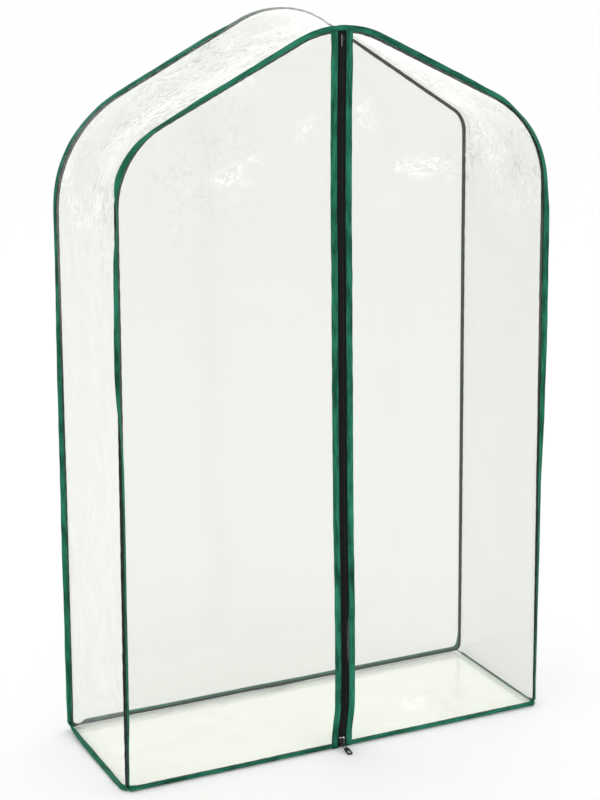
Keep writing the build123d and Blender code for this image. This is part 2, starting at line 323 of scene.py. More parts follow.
# ---- materials -------------------------------------------------------------------------------------
class Shader:
    """Short-hand for building one node material."""

    def __init__(self, name):
        self.material = bpy.data.materials.new(name)
        self.material.use_nodes = True
        self.tree = self.material.node_tree
        self.bsdf = self.tree.nodes["Principled BSDF"]
        self.output = self.tree.nodes["Material Output"]

    def node(self, kind, **values):
        made = self.tree.nodes.new(kind)
        for key, value in values.items():
            setattr(made, key, value)
        return made

    def link(self, source, target):
        self.tree.links.new(source, target)

    def set(self, **values):
        for key, value in values.items():
            self.bsdf.inputs[key.replace("_", " ")].default_value = value

    def object_space(self, scale=(1, 1, 1)):
        coord = self.node("ShaderNodeTexCoord")
        mapping = self.node("ShaderNodeMapping")
        mapping.inputs["Scale"].default_value = scale
        self.link(coord.outputs["Object"], mapping.inputs["Vector"])
        return mapping.outputs["Vector"]

    def surface_space(self, scale=(1, 1, 1)):
        uv = self.node("ShaderNodeUVMap", uv_map="surface")
        mapping = self.node("ShaderNodeMapping")
        mapping.inputs["Scale"].default_value = scale
        self.link(uv.outputs["UV"], mapping.inputs["Vector"])
        return mapping.outputs["Vector"]

    def noise(self, vector, scale, detail=3.0, rough=0.55, distortion=0.0):
        made = self.node("ShaderNodeTexNoise")
        made.inputs["Scale"].default_value = scale
        made.inputs["Detail"].default_value = detail
        made.inputs["Roughness"].default_value = rough
        made.inputs["Distortion"].default_value = distortion
        self.link(vector, made.inputs["Vector"])
        return made.outputs["Fac"]

    def bands(self, vector, scale, direction):
        made = self.node("ShaderNodeTexWave", wave_type="BANDS", bands_direction=direction)
        made.inputs["Scale"].default_value = scale
        self.link(vector, made.inputs["Vector"])
        return made.outputs["Fac"]

    def ramp(self, value, low, high, colours=None):
        """Maps low..high of a value to 0..1, or to two colours."""
        made = self.node("ShaderNodeValToRGB")
        first, last = made.color_ramp.elements
        first.position, last.position = low, high
        if colours:
            first.color, last.color = (*colours[0], 1), (*colours[1], 1)
        self.link(value, made.inputs["Fac"])
        return made.outputs["Color"]

    def maths(self, operation, a, b):
        made = self.node("ShaderNodeMath", operation=operation)
        for socket, value in zip(made.inputs, (a, b)):
            if isinstance(value, (int, float)):
                socket.default_value = value
            else:
                self.link(value, socket)
        return made.outputs["Value"]

    def range(self, value, low, high):
        """Maps 0..1 to low..high."""
        made = self.node("ShaderNodeMapRange")
        made.inputs["To Min"].default_value = low
        made.inputs["To Max"].default_value = high
        self.link(value, made.inputs["Value"])
        return made.outputs["Result"]

    def height_mask(self, low, high):
        """0 below `low` in object space, 1 above `high`."""
        parts = self.node("ShaderNodeSeparateXYZ")
        self.link(self.object_space(), parts.inputs["Vector"])
        made = self.node("ShaderNodeMapRange")
        made.inputs["From Min"].default_value = low
        made.inputs["From Max"].default_value = high
        made.inputs["To Min"].default_value = 0.06
        self.link(parts.outputs["Z"], made.inputs["Value"])
        return made.outputs["Result"]

    def bump(self, height, distance, strength=1.0):
        made = self.node("ShaderNodeBump")
        made.inputs["Distance"].default_value = distance
        made.inputs["Strength"].default_value = strength
        self.link(height, made.inputs["Height"])
        self.link(made.outputs["Normal"], self.bsdf.inputs["Normal"])


def crease_lines(s, space, scale, thin, low, high, patch_scale):
    """Thin wandering lines that gather in patches: 1 on a line, 0 off it."""
    field = s.noise(space, scale, 3, 0.6, 1.6)
    ridge = s.maths("ABSOLUTE", s.maths("SUBTRACT", field, 0.5), 0)
    line = s.maths("MAXIMUM", s.maths("SUBTRACT", 1.0, s.maths("MULTIPLY", ridge, thin)), 0)
    patch = s.ramp(s.noise(space, patch_scale, 2, 0.5), low, high)
    return s.maths("MULTIPLY", line, patch)


def film_material(name, crinkle, haze, spread, passes, shine=0.5, calm_below=None):
    """Thin clear PVC: it passes most light and mirrors a little; along its creases it passes less light
    (painted shade) and its base colour whitens (painted glints).
    Below `calm_below` it is pulled smooth."""
    s = Shader(name)
    space = s.object_space()
    broad = s.noise(space, 7, 3, 0.5, 0.6)
    fold = crease_lines(s, s.object_space((1.0, 1.0, 0.7)), 17, 30, spread, spread + 0.16, 5.0)
    glint = crease_lines(s, s.object_space((0.8, 1.0, 1.3)), 34, 22, spread + 0.08, spread + 0.20, 8.0)
    if calm_below:
        calm = s.height_mask(calm_below, calm_below + 0.16)
        fold = s.maths("MULTIPLY", fold, calm)
        glint = s.maths("MULTIPLY", glint, calm)
    # painted glints: along the glint lines the base colour turns from the haze to a whiter 0.42 grey
    colour = s.node("ShaderNodeMix", data_type="RGBA")
    colour.inputs[6].default_value = (haze, haze * 1.01, haze * 0.97, 1)
    colour.inputs[7].default_value = (0.42, 0.42, 0.42, 1)
    s.link(glint, colour.inputs[0])
    s.link(colour.outputs[2], s.bsdf.inputs["Base Color"])
    s.link(s.range(broad, 0.08, 0.22), s.bsdf.inputs["Roughness"])
    s.set(IOR=1.5, Specular_IOR_Level=shine)
    height = s.maths("ADD", broad, s.maths("MULTIPLY", s.maths("ADD", fold, glint), crinkle))
    s.bump(height, 6 * MM, 0.6)
    # painted shade: along the fold lines the film passes less light (0.76 of it)
    tint = s.node("ShaderNodeMix", data_type="RGBA")
    tint.inputs[6].default_value = (passes, passes * 1.007, passes * 0.98, 1)
    tint.inputs[7].default_value = (passes * 0.76, passes * 0.77, passes * 0.75, 1)
    s.link(s.maths("MULTIPLY", fold, crinkle), tint.inputs[0])
    clear = s.node("ShaderNodeBsdfTransparent")
    s.link(tint.outputs[2], clear.inputs["Color"])
    both = s.node("ShaderNodeAddShader")
    s.link(clear.outputs["BSDF"], both.inputs[0])
    s.link(s.bsdf.outputs["BSDF"], both.inputs[1])
    s.link(both.outputs["Shader"], s.output.inputs["Surface"])
    return s.material


def tape_material():
    """Green polypropylene binding: fine cross ribs, lengthwise yarns, and painted light and shade: broad
    noise darkens and lightens its green where light would fall on its twists.
    """
    s = Shader("green_tape")
    ribs = s.bands(s.surface_space(), 260, "X")
    yarns = s.bands(s.surface_space(), 330, "Y")
    weave = s.maths("MULTIPLY", ribs, s.range(yarns, 0.55, 1.0))
    # painted light and shade along the tape; the same noise also varies its roughness
    painted_light_tone = s.noise(s.surface_space((1, 6, 1)), 22, 4, 0.6)
    # painted light and shade in object space
    turn = s.noise(s.object_space(), 7, 2, 0.5)
    shade = s.maths("ADD", s.maths("MULTIPLY", weave, 0.18),
                    s.maths("ADD", s.maths("MULTIPLY", painted_light_tone, 0.46), s.maths("MULTIPLY", turn, 0.36)))
    # the ramp runs from a painted-shade dark green to a painted-highlight bright green
    s.link(s.ramp(shade, 0.38, 0.57, ((0.0003, 0.030, 0.012), (0.026, 0.235, 0.140))),
           s.bsdf.inputs["Base Color"])
    s.link(s.range(painted_light_tone, 0.36, 0.55), s.bsdf.inputs["Roughness"])
    s.set(Specular_IOR_Level=0.08)
    s.bump(weave, 0.12 * MM, 0.8)
    return s.material


def fabric_material(name, dark, light, scale, rough=0.8):
    """Plain woven cloth in object space, for sleeves, welts and zip tape."""
    s = Shader(name)
    space = s.object_space()
    warp = s.bands(space, scale, "Z")
    weft = s.bands(space, scale, "DIAGONAL")
    weave = s.maths("MULTIPLY", warp, weft)
    wear = s.noise(space, 60, 5, 0.65)
    shade = s.maths("ADD", s.maths("MULTIPLY", weave, 0.4), s.maths("MULTIPLY", wear, 0.6))
    s.link(s.ramp(shade, 0.2, 0.75, (dark, light)), s.bsdf.inputs["Base Color"])
    s.link(s.range(wear, rough - 0.12, rough + 0.08), s.bsdf.inputs["Roughness"])
    s.set(Specular_IOR_Level=0.12)
    s.bump(shade, 0.15 * MM, 0.7)
    return s.material


def thread_material(name, colour):
    s = Shader(name)
    twist = s.bands(s.object_space(), 700, "DIAGONAL")
    dark = tuple(c * 0.6 for c in colour)
    s.link(s.ramp(twist, 0.1, 0.9, (dark, colour)), s.bsdf.inputs["Base Color"])
    s.set(Roughness=0.5)
    s.bump(twist, 0.08 * MM, 0.6)
    return s.material


def metal_material(name, colour, rough):
    """Plated metal with fine brushing and rubbed patches."""
    s = Shader(name)
    brush = s.noise(s.object_space((1, 1, 0.05)), 1080, 3, 0.6)
    wear = s.noise(s.object_space(), 180, 4, 0.6)
    dark = tuple(c * 0.62 for c in colour)
    s.link(s.ramp(wear, 0.35, 0.7, (dark, colour)), s.bsdf.inputs["Base Color"])
    s.link(s.range(wear, rough - 0.08, rough + 0.12), s.bsdf.inputs["Roughness"])
    s.set(Metallic=1.0)
    s.bump(brush, 0.03 * MM, 0.5)
    return s.material


def coil_material():
    s = Shader("zip_coil")
    wear = s.noise(s.object_space(), 420, 3, 0.6)
    s.link(s.ramp(wear, 0.3, 0.7, ((0.004, 0.004, 0.0045), (0.014, 0.014, 0.015))),
           s.bsdf.inputs["Base Color"])
    s.link(s.range(wear, 0.25, 0.5), s.bsdf.inputs["Roughness"])
    s.set(Specular_IOR_Level=0.25)
    s.bump(wear, 0.04 * MM, 0.5)
    return s.material


FILM = film_material("film_flat", crinkle=0.45, haze=0.026, spread=0.54, passes=0.864, calm_below=0.96)
FILM_CRUMPLED = film_material("film_roof", crinkle=1.0, haze=0.016, spread=0.42, passes=0.815, shine=0.16,
                              calm_below=0.92)
FILM_FLOOR = film_material("film_floor", crinkle=0.35, haze=0.030, spread=0.56, passes=0.93)
TAPE = tape_material()
THREAD = thread_material("green_thread", (0.002, 0.10, 0.055))
# near-black cloth for the wire sleeves and base welts: painted shade, standing for the green binding's
# shaded inside
SLEEVE_PAINTED_SHADE = fabric_material("dark_sleeve", (0.008, 0.011, 0.010), (0.030, 0.038, 0.036), 520)
ZIP_CLOTH = fabric_material("zip_tape", (0.004, 0.004, 0.0045), (0.016, 0.016, 0.017), 800, 0.85)
COIL = coil_material()
STEEL = metal_material("spring_steel", (0.42, 0.43, 0.45), 0.32)
ALUMINIUM = metal_material("ferrule", (0.72, 0.73, 0.75), 0.35)
GUNMETAL = metal_material("slider_metal", (0.095, 0.09, 0.09), 0.38)
BRIGHT = metal_material("zip_metal", (0.66, 0.64, 0.62), 0.24)


def dress(node, material):
    """Gives a carried-over CAD node its finished material."""
    for slot in frame["nodes"][node].material_slots:
        slot.material = material


# ---- bound edges and wire sleeves -------------------------------------------------------------------
FRONT_ROOT_Y = FRONT_Y + 5.0 * MM
RIBBON_FOOT_R = 14 * MM
HEM_TOP_Z = 10.6 * MM
HEM_W = 8.8 * MM
HEM_END_X = 425.5 * MM

# share of the way round the front edge, degrees the tape is turned forwards off the front's plane
FRONT_TWIST = [(0.0, 80), (0.006, 86), (0.045, 90), (0.19, 84), (0.25, 8), (0.30, 20), (0.332, 62),
               (0.352, -8), (0.385, 44), (0.42, 24), (0.50, 14), (0.58, 32), (0.605, 50), (0.625, 88),
               (0.668, 88), (0.70, 36), (0.75, 36), (0.80, 66), (0.86, 100), (0.982, 112), (0.996, 100),
               (1.0, 90)]
# the same round the back edge from the middle of the sill, turned backwards
BACK_TWIST = [(0.0, 94), (0.099, 94), (0.104, 42), (0.135, 14), (0.19, 14), (0.26, 40), (0.34, 62),
              (0.38, 66), (0.42, 72), (0.465, 72), (0.485, 86), (0.60, 86), (0.63, 66), (0.888, 64),
              (0.898, 94)]
# the same, how far in front of the back face the tape leaves the seam, and how far out, in millimetres
BACK_ROOT_IN = [(0.0, 5.2), (0.10, 5.2), (0.112, 10.5), (0.35, 10.5), (0.38, 6.0), (0.405, 8.0),
                (0.425, 12.0), (0.468, 12.0), (0.49, 5.2), (1.0, 5.2)]
BACK_ROOT_OUT = [(0.0, 0), (0.40, 0), (0.425, 3.4), (0.465, 3.4), (0.485, 0), (1.0, 0)]
# how much of its full width the front tape shows
FRONT_FULL = [(0.0, 0.35), (0.008, 0.4), (0.05, 0.9), (0.20, 1.0), (0.90, 1.0), (0.97, 0.8),
              (0.992, 0.4), (1.0, 0.35)]
# share of the way round from the sill, radius of the sleeve in the loop's plane in millimetres
FRONT_SLEEVE = [(0.0, 2.9), (0.10, 2.9), (0.112, 4.4), (0.17, 4.9), (0.36, 4.3), (0.42, 3.7),
                (0.58, 3.7), (0.66, 3.4), (0.80, 2.9), (0.88, 2.6), (1.0, 2.9)]
BACK_SLEEVE = [(0.0, 2.9), (0.005, 2.9), (0.012, 2.1), (0.112, 2.1), (0.34, 2.3), (0.37, 3.2),
               (0.40, 3.0), (0.425, 2.0), (0.53, 2.0), (0.56, 3.5), (0.80, 3.5), (0.885, 3.0),
               (0.90, 2.1), (0.988, 2.1), (0.995, 2.9), (1.0, 2.9)]
SLEEVE_DEEP = 3.1 * MM            # half its depth across that plane, at most


def back_root(share):
    """Plane in which the back tape leaves the seam, and how far outside the seam it does so."""
    return BACK_Y - stations(BACK_ROOT_IN, share) * MM, stations(BACK_ROOT_OUT, share) * MM


def front_edge_binding():
    """From the left foot over the roof to the right foot; the hems close it along the floor."""
    path = house(FRONT_LOOP, ROOT_INSET, HEM_TOP_Z, -HEM_END_X, HEM_END_X, foot_r=RIBBON_FOOT_R)
    build = Build()
    frames = ring_frames(path, True, lambda s: (FRONT_ROOT_Y, 0), lambda s: stations(FRONT_TWIST, s),
                         seed=2.0)
    add_tape(build, frames, RIBBON_W, full=lambda s: stations(FRONT_FULL, s))
    front = build.object("front_edge_tape", TAPE, THREAD)
    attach(front, "front_frame")
    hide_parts("front_edge_binding")


def back_edge_binding():
    path = house(BACK_LOOP, ROOT_INSET, BACK_SILL_Z, closed=True)
    build = Build()
    frames = ring_frames(path, False, back_root, lambda s: stations(BACK_TWIST, s, periodic=True),
                         closed=True, seed=9.0)
    add_tape(build, frames, RIBBON_W, closed=True)
    back = build.object("back_edge_tape", TAPE, THREAD)
    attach(back, "back_frame")
    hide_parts("back_edge_binding")


def sleeve_section(radius, i, seed):
    """Soft cloth tube, a little flat, puckered where it is sewn."""
    points = []
    for k in range(12):
        angle = 2 * math.pi * k / 12
        pucker = 1 + 0.10 * wave(i * 0.45 + seed, k * 0.9) + 0.05 * math.sin(i * 1.9)
        deep = min(radius, SLEEVE_DEEP)
        points.append((radius * math.cos(angle) * pucker, deep * math.sin(angle) * pucker, k * 2.0 * MM))
    return points


def wire_sleeve(side, loop, sill_z, radii, plane_y, seed):
    """Cloth tube round one loop's wire, in the plane `plane_y`."""
    path = house(loop, SLEEVE_INSET, sill_z, closed=True)
    frames = ring_frames(path, side == "front", lambda s: (plane_y, 0), lambda s: 0, closed=True, seed=4.0)
    along = lengths(path)
    sizes = [stations(radii, s / along[-1]) * MM for s in along]
    build = Build()
    add_sweep(build, frames, lambda i: sleeve_section(sizes[i], i, seed), closed_path=True)
    # its near-black material is painted shade
    sleeve = build.object(f"{side}_sleeve_cloth", SLEEVE_PAINTED_SHADE)
    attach(sleeve, f"{side}_frame")
    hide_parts(f"{side}_wire_sleeve")


# ---- films -----------------------------------------------------------------------------------------
FILM_INSET = 8.5 * MM
ZIP_TAPE_OUT = 8.2 * MM
FLAP_BOTTOM = 2.2 * MM
STRIP_FRONT = FRONT_Y + 3.5 * MM
STRIP_BACK = BACK_Y - 3.5 * MM


def squash_flat(piece):
    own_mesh(piece)


def edge_at(loop, side, inset, foot_z):
    """X of the outline left or right of its peak, as a function of height, and the peak's height."""
    path = house(loop, inset, foot_z, -0.1, 0.1)
    peak = max(range(len(path)), key=lambda i: path[i].y)
    half = path[:peak + 1] if side < 0 else path[:peak - 1:-1]
    half = [p for p in half if p.y > foot_z + 0.1 * MM]
    heights = [p.y for p in half]
    across = [p.x for p in half]
    return (lambda z: float(np.interp(z, heights, across))), path[peak].y


def fade(distance, reach):
    """0 at an edge, rising to 1 at `reach` from it."""
    k = min(max(distance / reach, 0.0), 1.0)
    return k * k * (3 - 2 * k)


def blend_over_fold(piece, name, side):
    """Applies a piece's placement to its mesh.  The flap's fold axis is read from the joint but not used:
    the piece is not bent.
    """
    joint = JOINTS[f"{name}_flap_open"]
    along = Vector(joint["axis"])
    along = along if along.z > 0 else -along
    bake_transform(piece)


def front_film(name, side):
    """One half of the front, a single sheet across its flap's fold; it puckers along the zip."""
    rows, cols = 190, 56
    edge, top = edge_at(FRONT_LOOP, side, FILM_INSET, FILM_INSET)
    top_z = top - 1.2 * MM

    def point(i, j):
        z = FLAP_BOTTOM + (top_z - FLAP_BOTTOM) * (i / rows)
        wide = max(side * edge(z), ZIP_TAPE_OUT + 1.0 * MM)
        x = ZIP_TAPE_OUT + (wide - ZIP_TAPE_OUT) * (j / cols)
        rim = fade(min(wide - x, z * 1.5, (top_z - z) + 6 * MM), 60 * MM)
        zip_rim = fade(x - ZIP_TAPE_OUT, 50 * MM)
        broad = 2.6 * MM * wave(side * x * 4.2 + 8, z * 2.3)
        fine = 1.1 * MM * wave(side * x * 13, z * 6 + 5)
        pucker = 1.0 * MM * math.sin(z * 21 + x * 9) * (1 - zip_rim) * fade(x - ZIP_TAPE_OUT, 12 * MM)
        y = FRONT_Y + FILM_IN + (FRONT_ROOT_Y - FRONT_Y - FILM_IN) * (1 - fade(wide - x, 30 * MM))
        return Vector((side * x, y + ((broad + fine) * zip_rim + pucker) * rim, z))

    build = Build()
    add_grid(build, rows, cols, point, lambda i, j: (j / cols, i / rows))
    film = build.object(f"{name}_front_sheet", FILM)
    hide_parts(f"{name}_front_film", f"{name}_flap_film")
    blend_over_fold(film, name, side)


def back_film():
    """Back panel, slack in its middle."""
    rows, cols = 120, 90
    left_edge, top = edge_at(BACK_LOOP, -1, FILM_INSET, FILM_INSET)
    right_edge, _ = edge_at(BACK_LOOP, 1, FILM_INSET, FILM_INSET)
    top_z = top - 0.6 * MM

    def point(i, j):
        z = 3 * MM + (top_z - 3 * MM) * (i / rows)
        left, right = left_edge(z), right_edge(z)
        x = left + (right - left) * (j / cols)
        rim = fade(min(x - left, right - x, z, top_z - z + 4 * MM), 80 * MM)
        ripple = 3.0 * MM * wave(x * 3.1, z * 2.2 + 31) + 1.4 * MM * wave(x * 9 + 3, z * 7)
        return Vector((x, BACK_Y - FILM_IN - 2.0 * MM + min(ripple, 2.2 * MM) * rim, z))

    build = Build()
    add_grid(build, rows, cols, point, lambda i, j: (j / cols, i / rows))
    film = build.object("back_sheet", FILM)
    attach(film, "back_frame")
    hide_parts("back_panel_film")


def floor_film():
    rows, cols = 24, 70
    wide = HALF_W - FILM_INSET

    def point(i, j):
        x = -wide + 2 * wide * (j / cols)
        y = STRIP_FRONT + (STRIP_BACK - STRIP_FRONT) * (i / rows)
        rim = fade(min(wide - abs(x), y - STRIP_FRONT, STRIP_BACK - y), 40 * MM)
        ripple = 1.1 * MM * (0.55 + wave(x * 7, y * 9)) + 0.5 * MM * (0.5 + wave(x * 22, y * 25))
        return Vector((x, y, 0.4 * MM + max(ripple, 0) * rim))

    build = Build()
    add_grid(build, rows, cols, point, lambda i, j: (j / cols, i / rows))
    film = build.object("floor_sheet", FILM_FLOOR)
    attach(film, "front_frame")
    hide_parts("floor_film")
    squash_flat(film)


def roof_film():
    """Roof and both sides: one strip from floor to floor, lofted between the two loops."""
    front = house(FRONT_LOOP, FILM_INSET, 2 * MM)
    back = house(BACK_LOOP, FILM_INSET, 2 * MM)
    rows, cols = len(front) - 1, 34

    def point(i, j):
        t = j / cols
        middle = front[i].lerp(back[i], t)
        ahead, behind = min(i + 1, rows), max(i - 1, 0)
        tangent = (front[ahead].lerp(back[ahead], t) - front[behind].lerp(back[behind], t)).normalized()
        outward = Vector((-tangent.y, tangent.x))
        belly = math.sin(math.pi * t)
        roof = fade(middle.y - 0.95, 0.20)
        shoulder = math.exp(-((middle.y - 1.14) / 0.09) ** 2)
        x, z = middle.x, middle.y
        y = STRIP_FRONT + (STRIP_BACK - STRIP_FRONT) * t
        folds = wave(x * 14 + z * 9, y * 5, z * 6) + 0.5 * wave(x * 33 + z * 22, y * 11, z * 15)
        sag = -(1.0 + 4.5 * roof) * MM * belly ** 3
        ripple = (1.0 + 1.6 * shoulder + 0.6 * roof) * MM * folds * belly ** 2
        low = fade(z, 60 * MM)
        place = middle + outward * (sag + ripple) * low
        return Vector((place.x, y, place.y))

    build = Build()
    add_grid(build, rows, cols, point, lambda i, j: (j / cols, i / rows))
    film = build.object("roof_and_side_sheet", FILM_CRUMPLED)
    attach(film, "front_frame")
    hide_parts("roof_and_side_film")
    squash_flat(film)


# ---- base edges ------------------------------------------------------------------------------------
BASE_TAPE_W = 11.4 * MM
BASE_EDGE_Z = 2.0 * MM            # the tape's outer edge above the floor
# degrees the tape rises outwards along each base edge, from the front corner to the back
LEFT_BASE_TURN = [(0.0, -62), (0.10, -50), (0.30, -14), (0.55, -22), (0.80, 4), (1.0, 30)]
RIGHT_BASE_TURN = [(0.0, -58), (0.06, -34), (0.3, -30), (0.6, -33), (1.0, -31)]
LEFT_BASE_LIFT = 8 * MM           # how far the left seam has risen at the back
LEFT_BASE_R = 26 * MM             # the base's front corners, seen from above
RIGHT_BASE_R = 14 * MM
RIGHT_BASE_X = HALF_W - 7 * MM
# how much of its full width each base tape shows
LEFT_BASE_FULL = [(0.0, 1.0), (0.86, 1.0), (1.0, 0.7)]
RIGHT_BASE_FULL = [(0.0, 1.0), (0.05, 0.9), (0.10, 0.42), (1.0, 0.42)]


def line_frames(points, out_at):
    """Frames along a path, with the tape's direction given for each share of it."""
    frames = []
    for i, p in enumerate(points):
        tangent = (points[min(i + 1, len(points) - 1)] - points[max(i - 1, 0)]).normalized()
        out = out_at(i / (len(points) - 1))
        out = (out - tangent * out.dot(tangent)).normalized()
        frames.append((p, tangent, out, out.cross(tangent).normalized()))
    return frames


def base_frames(side, edge_x, corner_r, turns, lift):
    """From under the front hem, round the corner in plan, then backwards along the floor's edge."""
    turn_steps, steps = 16, 90
    centre = Vector((side * (edge_x - corner_r), FRONT_Y + corner_r))
    frames = []
    for i in range(turn_steps + steps + 1):
        t = max(i - turn_steps, 0) / steps
        angle = math.radians(-90 + side * 90 * min(i / turn_steps, 1))
        away = Vector((math.cos(angle), math.sin(angle), 0))
        turn = math.radians(stations(turns, t))
        inset = BASE_TAPE_W * math.cos(turn) + 0.4 * MM
        height = BASE_EDGE_Z + BASE_TAPE_W * max(-math.sin(turn), 0) + lift * t * t
        sway = 0.9 * MM * wave(t * 5 + side, 12.0) * fade(t, 0.1)
        point = Vector((centre.x, centre.y, height)) + away * (corner_r - inset - sway)
        point.y += (BACK_Y - centre.y) * t
        tangent = Vector((-side * math.sin(angle), side * math.cos(angle), 0))
        out = away * math.cos(turn) + Vector((0, 0, math.sin(turn)))
        frames.append((point, tangent, out, out.cross(tangent).normalized()))
    return frames


def base_edge(name, frames, full):
    build = Build()
    add_tape(build, frames, BASE_TAPE_W, full=lambda s: stations(full, s))
    tape = build.object(f"{name}_base_tape", TAPE, THREAD)
    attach(tape, "front_frame")
    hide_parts(f"{name}_base_binding")
    squash_flat(tape)


def welt_section(i):
    """Stitched cord, pinched at each stitch."""
    return [((1.7 + 0.15 * math.sin(i * 2.1)) * MM * math.sin(a), 1.5 * MM * math.cos(a), a * MM)
            for a in (2 * math.pi * k / 8 for k in range(8))]


def base_welt(name, side):
    low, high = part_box(f"{name}_base_welt")
    middle = (low + high) / 2
    steps = 60
    line = []
    for i in range(steps + 1):
        y = low.y + (high.y - low.y) * i / steps
        line.append(Vector((middle.x, y, middle.z + 0.3 * MM * wave(i * 0.21, side))))
    build = Build()
    add_sweep(build, line_frames(line, lambda t: Vector((0, 0, 1))), welt_section)
    # its near-black material is painted shade
    welt = build.object(f"{name}_welt_cloth", SLEEVE_PAINTED_SHADE)
    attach(welt, "front_frame")
    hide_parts(f"{name}_base_welt")
    squash_flat(welt)


# ---- zip -------------------------------------------------------------------------------------------
ZIP_BIND_IN = 8.5 * MM
ZIP_BIND_W = 11.6 * MM
ZIP_FOLD_ROOT = 1.4 * MM
ZIP_BIND_FOOT_Z = {"left": 0.4 * MM, "right": 1.6 * MM}
ZIP_SEWN_IN = 4.5 * MM            # top of the zip under the front edge tape
ZIP_TAPE_IN_X = 0.48 * MM
ZIP_TAPE_W = 8.6 * MM
ZIP_TAPE_HALF_T = 0.3 * MM
ZIP_TAPE_PARTED = 5.4 * MM        # cut back this far below the chain, clear of the slider
ZIP_TOP_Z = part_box("left_top_binding")[1].z
CHAIN_BOTTOM_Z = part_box("left_zip_coil")[0].z
TOOTH_PITCH = 1.4 * MM
TOOTH_ROOM = 0.3 * MM             # kept free at a coil's ends
PARKED_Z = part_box("zip_slider")[0].z + JOINTS["zip_slide"]["range_m"][1]
PARKED_POST_Z = PARKED_Z + 9 * MM   # inside the slider when it stands at the top


def zip_sway(z):
    """The long zip wanders a little from side to side between its ends."""
    wander = 1.2 * MM * wave(z * 3.4 + 2.0, 8.0) - 1.5 * MM * fade(z - 0.90, 0.15)
    bow = 6.5 * MM * fade(0.80 - z, 0.60)
    return (wander + bow) * fade(z - 20 * MM, 70 * MM) * fade(PARKED_Z - z, 120 * MM)


def zip_cloth(name, side):
    """Zip tape in one length across its flap's fold; the slider parts it at the foot."""
    low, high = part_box(f"{name}_zip_tape")[0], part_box(f"{name}_top_zip_tape")[1]
    middle = (low.y + high.y) / 2
    steps = 160
    points = []
    for i in range(steps + 1):
        z = low.z + (high.z + ZIP_SEWN_IN - low.z) * i / steps
        points.append(Vector((side * ZIP_TAPE_IN_X + zip_sway(z), middle, z)))

    def section(i):
        start = ZIP_TAPE_PARTED if points[i].z < CHAIN_BOTTOM_Z - 1 * MM else 0.0
        rib = 0.08 * MM * math.sin(i * 2.3)
        flat = [(start, ZIP_TAPE_HALF_T), (start + 1.2 * MM, ZIP_TAPE_HALF_T + rib),
                (ZIP_TAPE_W, ZIP_TAPE_HALF_T)]
        return [(a, b, a) for a, b in flat] + [(a, -b, a) for a, b in reversed(flat)]

    build = Build()
    add_sweep(build, line_frames(points, lambda t: Vector((side, 0, 0))), section)
    cloth = build.object(f"{name}_zip_cloth", ZIP_CLOTH)
    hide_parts(f"{name}_zip_tape", f"{name}_top_zip_tape")
    blend_over_fold(cloth, name, side)


def zip_binding(name, side):
    """Green tape up one side of the zip, in one length across the flap's fold."""
    foot = ZIP_BIND_FOOT_Z[name]
    steps = 150
    points = []
    for i in range(steps + 1):
        z = foot + (ZIP_TOP_Z + ZIP_SEWN_IN - foot) * i / steps
        bow = 0.5 * MM * wave(z * 6.6, side * 3.0) * fade(z - 30 * MM, 90 * MM)
        x = side * (ZIP_BIND_IN + bow - ZIP_FOLD_ROOT) + zip_sway(z)
        points.append(Vector((x, FRONT_Y + 0.75 * MM, z)))
    build = Build()
    add_tape(build, line_frames(points, lambda t: Vector((side, 0, 0))), ZIP_BIND_W + 2 * ZIP_FOLD_ROOT)
    tape = build.object(f"{name}_zip_edge_tape", TAPE, THREAD)
    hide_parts(f"{name}_zip_binding", f"{name}_top_binding")
    blend_over_fold(tape, name, side)


def flap_hem(name, side):
    """Bound bottom edge of a door flap, from the zip's binding to the outer corner."""
    inner = ZIP_BIND_IN + ZIP_BIND_W - 1.0 * MM
    outer = HEM_END_X + 1.5 * MM
    steps = 90
    points = []
    for i in range(steps + 1):
        x = inner + (outer - inner) * i / steps
        z = HEM_TOP_Z + 0.7 * MM * wave(x * 6, side)
        points.append(Vector((side * x, FRONT_Y + 1.4 * MM, z)))
    build = Build()
    add_tape(build, line_frames(points, lambda t: Vector((0, 0, -1))), HEM_W)
    hem = build.object(f"{name}_hem_tape", TAPE, THREAD)
    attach(hem, f"{name}_flap")
    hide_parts(f"{name}_flap_hem")


def add_tooth(build, side, z, centre_y):
    """One turn of the nylon coil: a bar across the tape edge with a fatter head.  Heads are shorter
    where the slider's post stands at the top."""
    head, tip = (0.8, 0.55) if z > PARKED_POST_Z else (-0.35, -0.62)
    rings = []
    for x, high, deep in ((3.0, 0.55, 0.20), (2.5, 0.80, 0.27), (1.0, 0.78, 0.27), (head, 0.90, 0.33),
                          (tip, 0.50, 0.16)):
        middle = z + 0.10 * MM * (x / 3.0)
        ring = []
        for k in range(6):
            a = math.pi * k / 3
            ring.append(build.vert((side * x * MM + zip_sway(z), centre_y + high * MM * math.cos(a),
                                    middle + deep * MM * math.sin(a))))
        rings.append(ring)
    for a, b in zip(rings, rings[1:]):
        for k in range(6):
            quad = (a[k], a[(k + 1) % 6], b[(k + 1) % 6], b[k])
            build.face(*(quad if side < 0 else reversed(quad)))
    build.face(*(rings[0] if side > 0 else reversed(rings[0])))
    build.face(*(reversed(rings[-1]) if side > 0 else rings[-1]))


def add_core(build, side, low, high, centre_y):
    """Cord and stitching that the coil is sewn over, which closes the gap between the tapes."""
    steps = max(int((high - low) / (8 * MM)), 2)
    points = []
    for i in range(steps + 1):
        z = low + (high - low) * i / steps
        points.append(Vector((zip_sway(z), centre_y + 0.62 * MM, z)))
    inner, outer, half = 0.02 * MM, 3.2 * MM, 0.22 * MM
    flat = [(inner, half, inner), (outer, half, outer), (outer, -half, outer), (inner, -half, inner)]
    add_sweep(build, line_frames(points, lambda t: Vector((side, 0, 0))), lambda i: flat)


